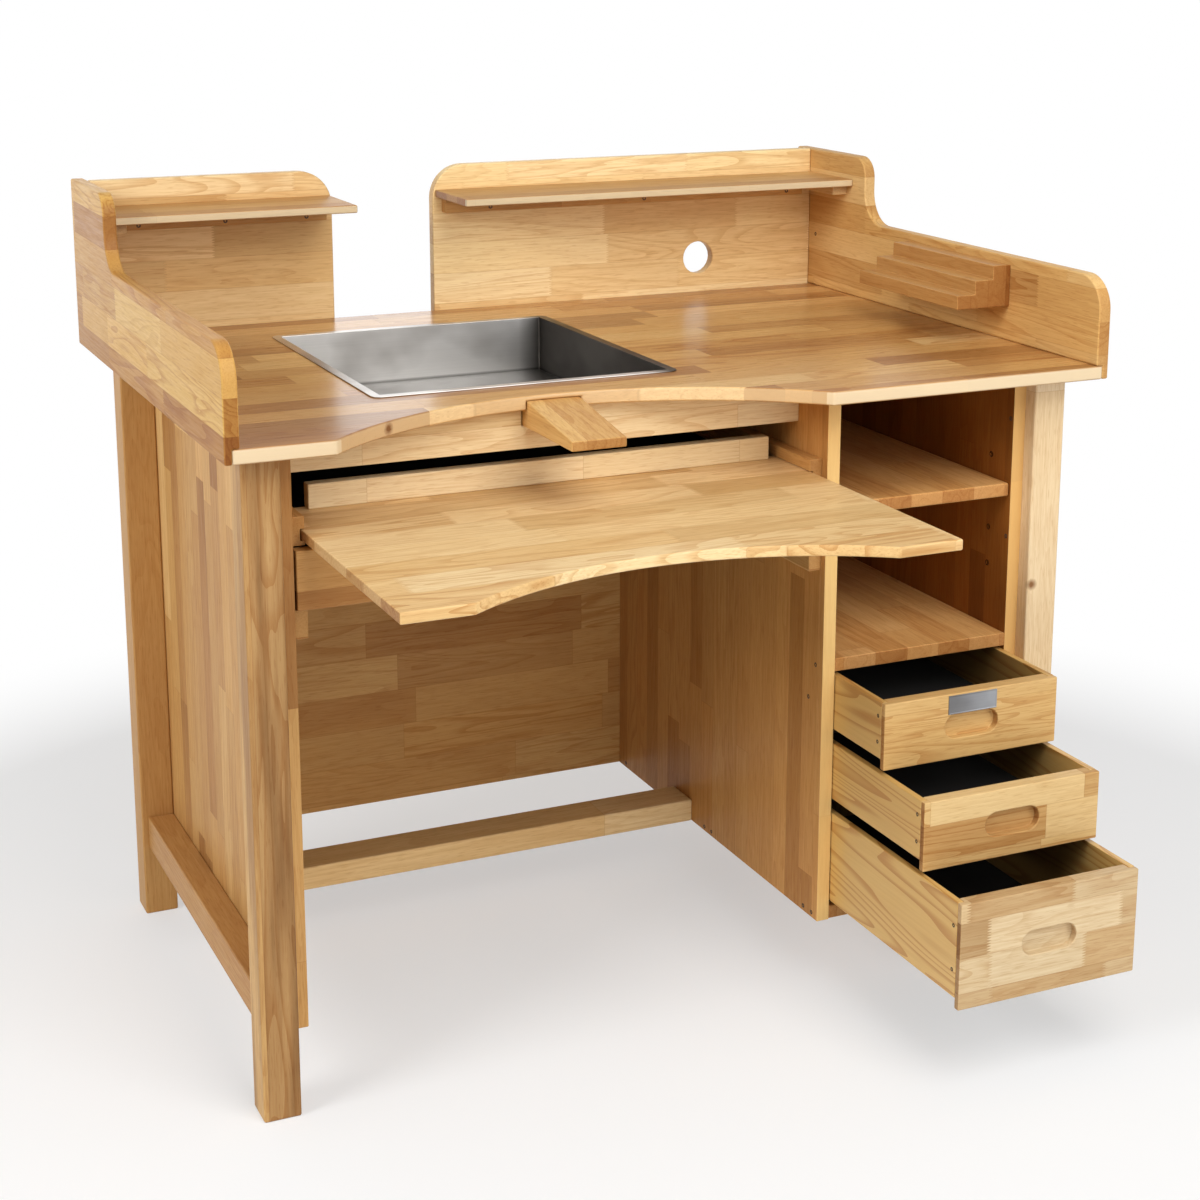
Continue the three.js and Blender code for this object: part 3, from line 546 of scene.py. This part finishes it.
def add_screws(name, places, facing, body, head=SCREW_HEAD):
    """Countersunk heads just proud of the wood, each with a dished driver recess."""
    mesh = bmesh.new()
    outward = Vector(facing)
    turn = Vector((0, 0, 1)).rotation_difference(outward).to_matrix().to_4x4()
    sunk = Matrix.Translation((0, 0, -SCREW_DEPTH / 2))
    for place in places:
        made = bmesh.ops.create_cone(
            mesh, cap_ends=True, segments=16, radius1=head * 0.5, radius2=head, depth=SCREW_DEPTH,
            matrix=Matrix.Translation(place) @ turn @ sunk,
        )
        sides = {face for vert in made["verts"] for face in vert.link_faces}
        top = max(sides, key=lambda face: face.calc_center_median().dot(outward))
        for step, rise in DRIVER_RECESS:
            bmesh.ops.inset_region(mesh, faces=[top], thickness=head * step, depth=rise, use_even_offset=True)
    bmesh.ops.recalc_face_normals(mesh, faces=mesh.faces)
    add_piece(name, mesh, dark_screw, body)


CLEAT_SCREWS_X = (-0.566, -0.429, -0.297, 0.018, 0.299, 0.575)
CLEAT_SCREW_Z = 1.11
WING_SCREW_Y = 0.5225
WING_SCREW_Z = 1.031
cleat_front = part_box("left_shelf_cleat")[0].y - SCREW_PROUD
cleat_places = [Vector((x, cleat_front, CLEAT_SCREW_Z)) for x in CLEAT_SCREWS_X]
add_screws("cleat_screws", cleat_places, (0, -1, 0), "bench")
wing_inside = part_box("right_wing")[0].x - SCREW_PROUD
add_screws("wing_screw", [Vector((wing_inside, WING_SCREW_Y, WING_SCREW_Z))], (-1, 0, 0), "bench")


# Tool rack: three strips stacked like stairs and glued to the right wing, for pliers and files.
# Their grain runs front to back.
RACK_EASE = 0.0015
rack_wood = stave_wood(
    "rack_wood", "Y", "X", width=0.0313, length=0.6, tones=HONEY, figure=0.6, spread=0.5, seed=139.0
)
ease_node("tool_rack", RACK_EASE, rack_wood)


# Sliding tray: a thin pale board with its own recess and a stop board along its rear edge.
# It slides in the grooved runners screwed to the kneehole's sides.
TRAY_EASE = 0.0025
STOP_EASE = 0.002
TRAY_RUNNER_EASE = 0.0012
tray_wood = stave_wood(
    "tray_wood", "X", "Y", width=0.066, length=0.45, tones=PALE, figure=0.8, spread=1.0, zigzag=4.0,
    gloss=0.36,
)
ease_node("sliding_tray", TRAY_EASE, tray_wood, body="tray")
stop_wood = stave_wood("stop_wood", "X", "Z", width=0.05, length=0.34, tones=BUTTER)
ease_node("tray_stop_board", STOP_EASE, stop_wood, body="tray")
for runner in ("left_tray_runner", "right_tray_runner"):
    ease_node(runner, TRAY_RUNNER_EASE, rail_wood)


# Sweep drawer: a shallow drawer under the tray that catches filings, on plain strips of its own.
# Its front is two staves high, a pale one over a darker one, and the box is painted black.
SWEEP_FRONT_EASE = 0.002
SWEEP_RUNNER_EASE = 0.0015
SWEEP_WALL_EASE = 0.001
BLACK = [(0.3, (0.0045, 0.004, 0.0036)), (0.75, (0.011, 0.0095, 0.008))]
sweep_front_wood = stave_wood(
    "sweep_front_wood", "X", "Z", width=0.0604, length=0.5, tones=HONEY, figure=0.4, spread=1.0, seed=42.0
)
ease_node("sweep_drawer_front", SWEEP_FRONT_EASE, sweep_front_wood, body="sweep_drawer")
for runner in ("left_sweep_runner", "right_sweep_runner"):
    ease_node(runner, SWEEP_RUNNER_EASE, rail_wood)
black_lining, tree, shader, place = new_finish("black_lining")
nap = stretched_noise(tree, place["Object"], stretch=(700.0, 700.0, 700.0), detail=3.0)
tree.links.new(tone_ramp(tree, nap, BLACK), shader.inputs["Base Color"])
add_relief(tree, shader, nap, strength=0.2, depth=0.0003)
shader.inputs["Roughness"].default_value = 0.9
for wall in ("left_side", "right_side", "back", "bottom"):
    ease_node(f"sweep_drawer_{wall}", SWEEP_WALL_EASE, black_lining, body="sweep_drawer")


# Cabinet: a bottom and a fixed shelf housed between the partition and the side, dust boards painted
# black for the drawers to run on, and a loose shelf on four steel pegs. The staves run front to back.
CABINET_EASE = 0.0015
LOOSE_SHELF_EASE = 0.003
DUST_BOARD_EASE = 0.001
PEG_EASE = 0.0006
PEG_GREY = (0.5, 0.5, 0.49)
CINNAMON = [
    (0.0, (0.52, 0.255, 0.082)),
    (0.5, (0.71, 0.405, 0.15)),
    (1.0, (0.81, 0.51, 0.23)),
]
cabinet_wood = stave_wood(
    "cabinet_wood", "Y", "X", width=0.054, length=0.4, tones=CINNAMON, figure=0.7, spread=0.6
)
for board in ("cabinet_bottom", "cabinet_fixed_shelf"):
    ease_node(board, CABINET_EASE, cabinet_wood)
ease_node("loose_shelf", LOOSE_SHELF_EASE, cabinet_wood, body="shelf")
for board in ("lower_dust_board", "middle_dust_board", "upper_dust_board"):
    ease_node(board, DUST_BOARD_EASE, black_lining)
peg_steel = brushed_metal("peg_steel", PEG_GREY, stretch=(60.0, 400.0, 400.0), roughness=0.38)
for peg in ("left_front", "left_rear", "right_front", "right_rear"):
    ease_node(f"{peg}_shelf_peg", PEG_EASE, peg_steel)

# Screws hold the fixed boards and the stretcher through the partition, and the side to its leg.
PARTITION_SCREWS = (
    (-0.2015, 0.511), (-0.1825, 0.456), (0.1485, 0.122), (0.1235, 0.123), (-0.1805, 0.123), (-0.2055, 0.123),
    (0.4545, 0.123),
)
SIDE_SCREWS = ((-0.2145, 0.853), (-0.2145, 0.673))
knee_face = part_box("cabinet_partition")[0].x - SCREW_PROUD
add_screws("partition_screws", [Vector((knee_face, y, z)) for y, z in PARTITION_SCREWS], (-1, 0, 0), "bench")
side_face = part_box("cabinet_right_side")[0].x - SCREW_PROUD
add_screws("side_screws", [Vector((side_face, y, z)) for y, z in SIDE_SCREWS], (-1, 0, 0), "bench")


# Drawers: pine boxes with a black-painted bottom and a hardwood front, lapped over the sides and
# held by two screws in each. Painted shade darkens the inner faces; each front has a round-ended finger slot.
DRAWER_FRONT_EASE = 0.002
DRAWER_WALL_EASE = 0.0012
DRAWER_BOTTOM_EASE = 0.0008
DRAWER_SCREW_HEAD = 0.003
SCREW_BEHIND_FACE = 0.018
SCREW_SHARES = (0.28, 0.74)
PINE = [
    (0.0, (0.58, 0.34, 0.1)),
    (0.5, (0.66, 0.42, 0.135)),
    (1.0, (0.72, 0.49, 0.18)),
]
# Painted shade on the drawers' inner faces, starting just behind the front and deepening to the back.
INSIDE_PAINTED_SHADE = (0.12, 0.08, 0.04)
INSIDE_SHADE_START = 0.03
INSIDE_SHADE_FULL = 0.17


def pine_board(name, inner_axis, inner_side, front):
    """Slab-sawn pine, with painted shade on its inner face that deepens away from the drawer's front."""
    material, tree, shader, place = new_finish(name)
    ring_count = 19.0
    late_shade = (0.7, 0.5, 0.31)
    fibre_shade = (0.78, 0.66, 0.5)
    swirl = stretched_noise(tree, place["Object"], stretch=(8.0, 0.9, 9.0), detail=2.0, distortion=0.25)
    fibre = stretched_noise(tree, place["Object"], stretch=(300.0, 8.0, 300.0), detail=3.0)
    cloud = stretched_noise(tree, place["Object"], stretch=(6.0, 2.0, 8.0), detail=2.0)
    colour = tone_ramp(tree, cloud, PINE)
    rings = calculate(tree, "FRACT", calculate(tree, "MULTIPLY", swirl, ring_count))
    late = fade(tree, rings, 0.5, 0.97, at_high=0.8, blend="SMOOTHSTEP")
    colour = tint(tree, colour, late, late_shade)
    streak = fade(tree, fibre, 0.35, 0.7, at_high=0.25)
    colour = tint(tree, colour, streak, fibre_shade)
    turned = split(tree, place["Normal"])
    inner = calculate(tree, "MULTIPLY", turned[inner_axis], inner_side)
    axes = split(tree, place["Object"])
    # Painted shade on the inner face, deeper away from the front.
    inside_shade = fade(tree, axes["Y"], front + INSIDE_SHADE_START, front + INSIDE_SHADE_FULL, at_low=0.1, at_high=0.8)
    inside_shade = calculate(tree, "MULTIPLY", inside_shade, calculate(tree, "GREATER_THAN", inner, 0.5))
    colour = tint(tree, colour, inside_shade, INSIDE_PAINTED_SHADE)
    tree.links.new(colour, shader.inputs["Base Color"])
    add_relief(tree, shader, fibre, strength=0.1, depth=0.0004)
    shader.inputs["Roughness"].default_value = 0.42
    shader.inputs["Coat Weight"].default_value = 0.2
    shader.inputs["Coat Roughness"].default_value = 0.25
    return material


SAND = [
    (0.0, (0.44, 0.285, 0.132)),
    (0.3, (0.55, 0.39, 0.21)),
    (0.6, (0.66, 0.52, 0.32)),
    (1.0, (0.71, 0.58, 0.38)),
]
BISCUIT = [
    (0.0, (0.485, 0.275, 0.1)),
    (0.5, (0.66, 0.44, 0.185)),
    (1.0, (0.755, 0.565, 0.29)),
]
front_woods = {
    "upper_drawer": stave_wood(
        "upper_front_wood", "X", "Z", width=0.12, length=2.0, tones=BISCUIT, figure=0.8, spread=0.3
    ),
    "middle_drawer": stave_wood(
        "middle_front_wood", "X", "Z", width=0.051, length=0.3, tones=BISCUIT, figure=1.0, seed=7.0
    ),
    "lower_drawer": stave_wood(
        "lower_front_wood", "X", "Z", width=0.0512, length=0.18, tones=SAND, figure=0.6, spread=0.85,
        seed=481.0, zigzag=4.0,
    ),
}
drawer_walls = (("left_side", "X", 1.0), ("right_side", "X", -1.0), ("back", "Y", -1.0))
for name, front_wood in front_woods.items():
    ease_node(f"{name}_front", DRAWER_FRONT_EASE, front_wood, body=name)
    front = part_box(f"{name}_front")[0].y
    for wall, inner_axis, inner_side in drawer_walls:
        wall_pine = pine_board(f"{name}_{wall}_pine", inner_axis, inner_side, front)
        ease_node(f"{name}_{wall}", DRAWER_WALL_EASE, wall_pine, body=name)
    ease_node(f"{name}_bottom", DRAWER_BOTTOM_EASE, black_lining, body=name)
    low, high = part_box(f"{name}_left_side")
    left_x = low.x - SCREW_PROUD
    right_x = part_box(f"{name}_right_side")[1].x + SCREW_PROUD
    screw_y = front + SCREW_BEHIND_FACE
    heights = [low.z + share * (high.z - low.z) for share in SCREW_SHARES]
    for side, screw_x, outward in (("left", left_x, -1), ("right", right_x, 1)):
        places = [Vector((screw_x, screw_y, z)) for z in heights]
        add_screws(f"{name}_{side}_screws", places, (outward, 0, 0), name, head=DRAWER_SCREW_HEAD)


# Label plate: a small bare sheet of brushed metal pinned to the upper drawer above its finger slot.
# Its edges are turned over slightly.
PLATE_SIZE = Vector((0.081, 0.0012, 0.028))
PLATE_BOTTOM = 0.468
PLATE_RIM = 0.0012
PLATE_STEP = 0.0004
PLATE_DISH = 0.0005
PLATE_EASE = 0.0002
PLATE_GREY = (0.36, 0.37, 0.39)
plate_steel = brushed_metal("plate_steel", PLATE_GREY, stretch=(8.0, 8.0, 700.0), roughness=0.36)
front_low, front_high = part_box("upper_drawer_front")
plate_left = (front_low.x + front_high.x - PLATE_SIZE.x) / 2
plate_mesh = block_mesh(Vector((plate_left, front_low.y - PLATE_SIZE.y, PLATE_BOTTOM)), PLATE_SIZE)
plate_face = min(plate_mesh.faces, key=lambda face: face.calc_center_median().y)
for thickness, depth in ((PLATE_RIM, 0.0), (PLATE_STEP, -PLATE_DISH)):
    bmesh.ops.inset_region(
        plate_mesh, faces=[plate_face], thickness=thickness, depth=depth, use_even_offset=True
    )
ease_edges(plate_mesh, PLATE_EASE, segments=2)
add_piece("label_plate", plate_mesh, plate_steel, "upper_drawer")


# Floor: a wide sheet of pale matt paper that the bench stands on. It keeps the soft shadow close
# to the bench and runs out into white.
FLOOR_REACH = 9.0
FLOOR_COLOUR = (0.9, 0.9, 0.9)
SHADOW_RADIUS = (0.9, 1.9)
LEAST_WHITE = 0.45
floor_mesh = bmesh.new()
bmesh.ops.create_grid(floor_mesh, x_segments=1, y_segments=1, size=FLOOR_REACH)
floor_data = bpy.data.meshes.new("floor")
floor_mesh.to_mesh(floor_data)
floor_mesh.free()
floor = bpy.data.objects.new("floor", floor_data)
bpy.context.scene.collection.objects.link(floor)


def seen_rays(tree):
    """One for what the camera sees, straight, mirrored or through glass, and zero for the lighting."""
    rays = add_node(tree, "ShaderNodeLightPath", {}).outputs
    seen = calculate(tree, "MAXIMUM", rays["Is Camera Ray"], rays["Is Glossy Ray"])
    return calculate(tree, "MAXIMUM", seen, rays["Is Transmission Ray"])


floor_paper, tree, shader, place = new_finish("floor_paper")
shader.inputs["Base Color"].default_value = (*FLOOR_COLOUR, 1)
shader.inputs["Roughness"].default_value = 0.9
reach = add_node(tree, "ShaderNodeVectorMath", {0: place["Object"]}, operation="LENGTH").outputs["Value"]
pale = calculate(tree, "MAXIMUM", fade(tree, reach, *SHADOW_RADIUS, blend="SMOOTHSTEP"), LEAST_WHITE)
blank = calculate(tree, "MULTIPLY", pale, seen_rays(tree))
white = add_node(tree, "ShaderNodeEmission", {"Color": (1, 1, 1, 1), "Strength": 1.0})
mixed = add_node(tree, "ShaderNodeMixShader", {0: blank, 1: shader.outputs[0], 2: white.outputs[0]})
tree.links.new(mixed.outputs[0], tree.nodes["Material Output"].inputs["Surface"])
floor_data.materials.append(floor_paper)


# Light: a broad soft box in front, a second far out on the left, one high in front and a weak one
# behind, with a pale surround that shows white to the camera and in the metal.
AMBIENT = 0.29
world = bpy.data.worlds.new("studio")
world.use_nodes = True
bpy.context.scene.world = world
tree = world.node_tree
level = fade(tree, seen_rays(tree), 0.0, 1.0, at_low=AMBIENT)
tree.links.new(level, tree.nodes["Background"].inputs["Strength"])
tree.nodes["Background"].inputs["Color"].default_value = (1, 1, 1, 1)


def add_soft_box(name, place, target, size, power):
    data = bpy.data.lights.new(name, "AREA")
    data.shape = "RECTANGLE"
    data.size, data.size_y = size
    data.energy = power
    lamp = bpy.data.objects.new(name, data)
    lamp.location = place
    lamp.rotation_euler = (Vector(target) - Vector(place)).to_track_quat("-Z", "Y").to_euler()
    bpy.context.scene.collection.objects.link(lamp)


add_soft_box("front_box", place=(0.9, -4.2, 1.9), target=(0.2, 0.0, 0.7), size=(4.8, 3.4), power=82)
add_soft_box("left_box", place=(-4.2, -1.3, 2.8), target=(-0.2, 0.1, 0.8), size=(1.8, 1.8), power=108)
add_soft_box("upper_box", place=(0.2, -2.0, 2.9), target=(0.1, 0.1, 0.8), size=(1.8, 1.8), power=50)
add_soft_box("rear_box", place=(0.0, 4.2, 1.2), target=(0.0, 0.4, 0.7), size=(4.0, 2.0), power=30)


# Camera: at the left front, above the worktop, with the lens shifted down a little so that the
# legs stay nearly upright.
LOOK_DOWN = 12.91
LOOK_RIGHT = 24.16
camera_data = bpy.data.cameras.new("camera")
camera_data.lens = 65.6
camera_data.sensor_width = 36
camera_data.shift_y = -0.14
camera_data.clip_end = 100
camera = bpy.data.objects.new("camera", camera_data)
camera.location = (-1.2935, -2.8405, 1.5546)
camera.rotation_euler = Euler((radians(90 - LOOK_DOWN), 0, radians(-LOOK_RIGHT)), "XYZ")
bpy.context.scene.collection.objects.link(camera)
bpy.context.scene.camera = camera
bpy.context.scene.view_settings.view_transform = "Standard"
